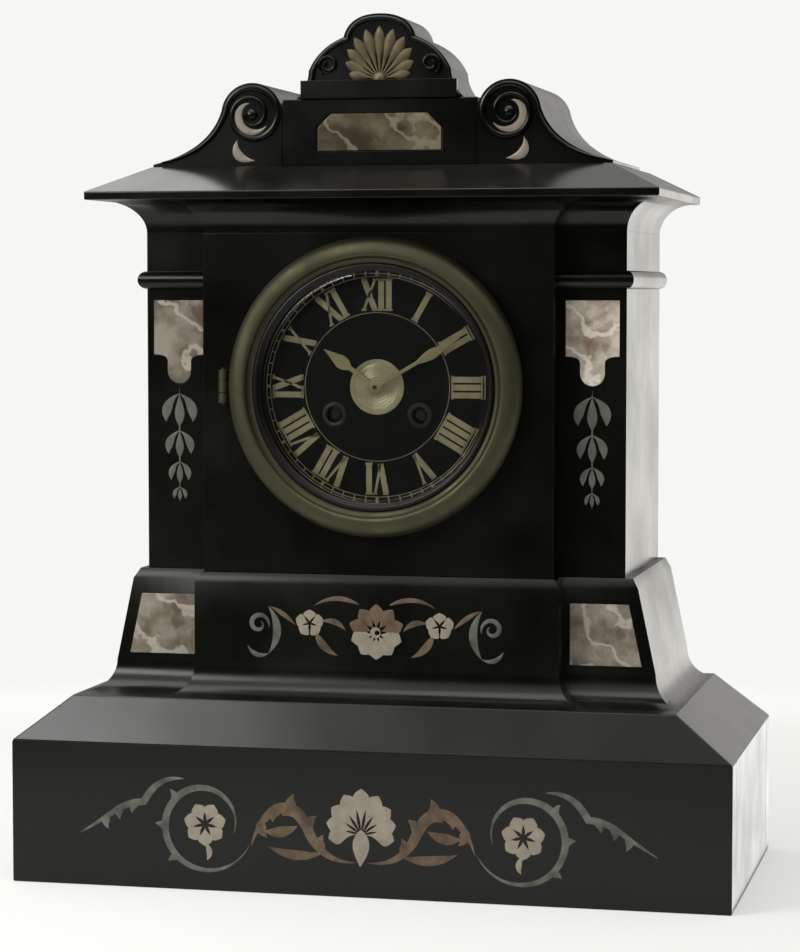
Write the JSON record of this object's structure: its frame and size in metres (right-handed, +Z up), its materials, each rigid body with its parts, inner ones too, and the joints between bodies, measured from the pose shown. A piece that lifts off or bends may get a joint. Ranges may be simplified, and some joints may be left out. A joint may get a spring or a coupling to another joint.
{
  "type": "mantel clock",
  "caption": "Polished black slate mantel clock with marble inlays, scrolled pediment, hinged glazed bezel and a spring-driven pendulum movement.",
  "frame": {"origin": "middle of the box on the plane that the plinth stands on", "axes": "+Z up, +X to the right of someone facing the dial, the dial faces -Y"},
  "size_m": [0.366, 0.173, 0.438],
  "materials": {
    "slate": "polished black slate",
    "marble": "polished veined marble",
    "case_brass": "dull lacquered brass",
    "movement_brass": "satin brass",
    "gilt": "matt gilt",
    "bell_metal": "smooth cast bell metal",
    "steel": "polished steel",
    "hands": "dark blued steel with a gilt edge",
    "dial_black": "satin black slate with gilt numerals",
    "glass": "clear bevelled glass"
  },
  "bodies": {
    "case": {"plinth_front": "slate", "plinth_back": "slate", "plinth_left": "slate", "plinth_right": "slate", "plinth_cap": "slate", "pedestal_front": "slate", "pedestal_left": "slate", "pedestal_right": "slate", "pedestal_marble_left": "marble", "pedestal_marble_right": "marble", "wing_left": "slate", "wing_right": "slate", "wing_marble_left": "marble", "wing_marble_right": "marble", "capital_left": "slate", "capital_right": "slate", "front_panel": "slate", "back_panel": "slate", "cornice_cove": "slate", "cornice_slab": "slate", "pediment_block": "slate", "pediment_tablet": "marble", "pediment_crest": "slate", "pediment_scroll_left": "slate", "pediment_scroll_right": "slate", "bezel_seat": "case_brass", "bezel_hinge_pin": "case_brass", "dial": "dial_black", "dial_centre": "gilt", "front_plate": "movement_brass", "back_plate": "movement_brass", "pillar_1": "movement_brass", "pillar_2": "movement_brass", "pillar_3": "movement_brass", "pillar_4": "movement_brass", "suspension_cock": "movement_brass", "bell": "bell_metal", "bell_stand": "steel", "strap_left": "case_brass", "strap_right": "case_brass", "back_ring": "case_brass"},
    "front_bezel": {"bezel": "case_brass", "bezel_glass": "glass"},
    "back_cover": {"back_door": "case_brass"},
    "minute_train": {"centre_wheel": "movement_brass", "minute_hand": "hands"},
    "hour_train": {"hour_wheel": "movement_brass", "hour_hand": "hands"},
    "minute_wheel": {"minute_wheel": "movement_brass"},
    "second_wheel": {"second_wheel": "movement_brass"},
    "going_barrel": {"going_barrel": "movement_brass"},
    "third_wheel": {"third_wheel": "movement_brass"},
    "escape_wheel": {"escape_wheel": "movement_brass"},
    "going_arbor": {"going_winding_arbor": "steel"},
    "strike_barrel": {"strike_barrel": "movement_brass"},
    "strike_arbor": {"strike_winding_arbor": "steel"},
    "anchor": {"anchor": "steel"},
    "pendulum": {"pendulum_rod": "movement_brass", "pendulum_bob": "movement_brass"},
    "hammer": {"hammer": "steel"}
  },
  "joints": [
    {"name": "minute_turn", "type": "hinge", "parent": "case", "child": "minute_train", "pos_m": [0, -0.026, 0.252], "axis": [0, 1, 0], "continuous": true},
    {"name": "hour_turn", "type": "hinge", "parent": "case", "child": "hour_train", "pos_m": [0, -0.026, 0.252], "axis": [0, 1, 0], "continuous": true},
    {"name": "minute_wheel_turn", "type": "hinge", "parent": "case", "child": "minute_wheel", "pos_m": [-0.0054, -0.026, 0.24557], "axis": [0, 1, 0], "continuous": true},
    {"name": "second_wheel_turn", "type": "hinge", "parent": "case", "child": "second_wheel", "pos_m": [0.01434, -0.026, 0.25979], "axis": [0, 1, 0], "continuous": true},
    {"name": "going_barrel_turn", "type": "hinge", "parent": "case", "child": "going_barrel", "pos_m": [0.022, -0.026, 0.238], "axis": [0, 1, 0], "continuous": true},
    {"name": "third_wheel_turn", "type": "hinge", "parent": "case", "child": "third_wheel", "pos_m": [-0.00895, -0.026, 0.26478], "axis": [0, 1, 0], "continuous": true},
    {"name": "escape_wheel_turn", "type": "hinge", "parent": "case", "child": "escape_wheel", "pos_m": [0, -0.026, 0.27356], "axis": [0, 1, 0], "continuous": true},
    {"name": "going_winding", "type": "hinge", "parent": "case", "child": "going_arbor", "pos_m": [0.022, -0.026, 0.238], "axis": [0, 1, 0], "range_deg": [0, 1620]},
    {"name": "strike_winding", "type": "hinge", "parent": "case", "child": "strike_arbor", "pos_m": [-0.022, -0.026, 0.238], "axis": [0, -1, 0], "range_deg": [0, 1620]},
    {"name": "strike_barrel_turn", "type": "hinge", "parent": "case", "child": "strike_barrel", "pos_m": [-0.022, -0.026, 0.238], "axis": [0, 1, 0], "range_deg": [0, 1620]},
    {"name": "pendulum_swing", "type": "hinge", "parent": "case", "child": "pendulum", "pos_m": [0, 0.003, 0.2895], "axis": [0, 1, 0], "range_deg": [-2.5, 2.5]},
    {"name": "anchor_rock", "type": "hinge", "parent": "case", "child": "anchor", "pos_m": [0, -0.026, 0.2895], "axis": [0, 1, 0], "range_deg": [-2.5, 2.5]},
    {"name": "hammer_lift", "type": "hinge", "parent": "case", "child": "hammer", "pos_m": [-0.037, -0.026, 0.269], "axis": [0, 1, 0], "range_deg": [0, 14], "stiffness_Nm_per_rad": 0.002, "springref_deg": -20.05},
    {"name": "bezel_hinge", "type": "hinge", "parent": "case", "child": "front_bezel", "pos_m": [-0.0782, -0.0605, 0.252], "axis": [0, 0, -1], "range_deg": [0, 130]},
    {"name": "back_door_hinge", "type": "hinge", "parent": "case", "child": "back_cover", "pos_m": [-0.0692, 0.0789, 0.252], "axis": [0, 0, 1], "range_deg": [0, 120]}
  ],
  "couplings": [
    {"joint": "hour_turn", "follows": "minute_turn", "ratio": 0.083333},
    {"joint": "minute_wheel_turn", "follows": "minute_turn", "ratio": -0.33333},
    {"joint": "second_wheel_turn", "follows": "minute_turn", "ratio": -0.13333},
    {"joint": "going_barrel_turn", "follows": "minute_turn", "ratio": 0.022222},
    {"joint": "third_wheel_turn", "follows": "minute_turn", "ratio": -12},
    {"joint": "escape_wheel_turn", "follows": "minute_turn", "ratio": 120},
    {"joint": "anchor_rock", "follows": "pendulum_swing", "ratio": 1}
  ]
}
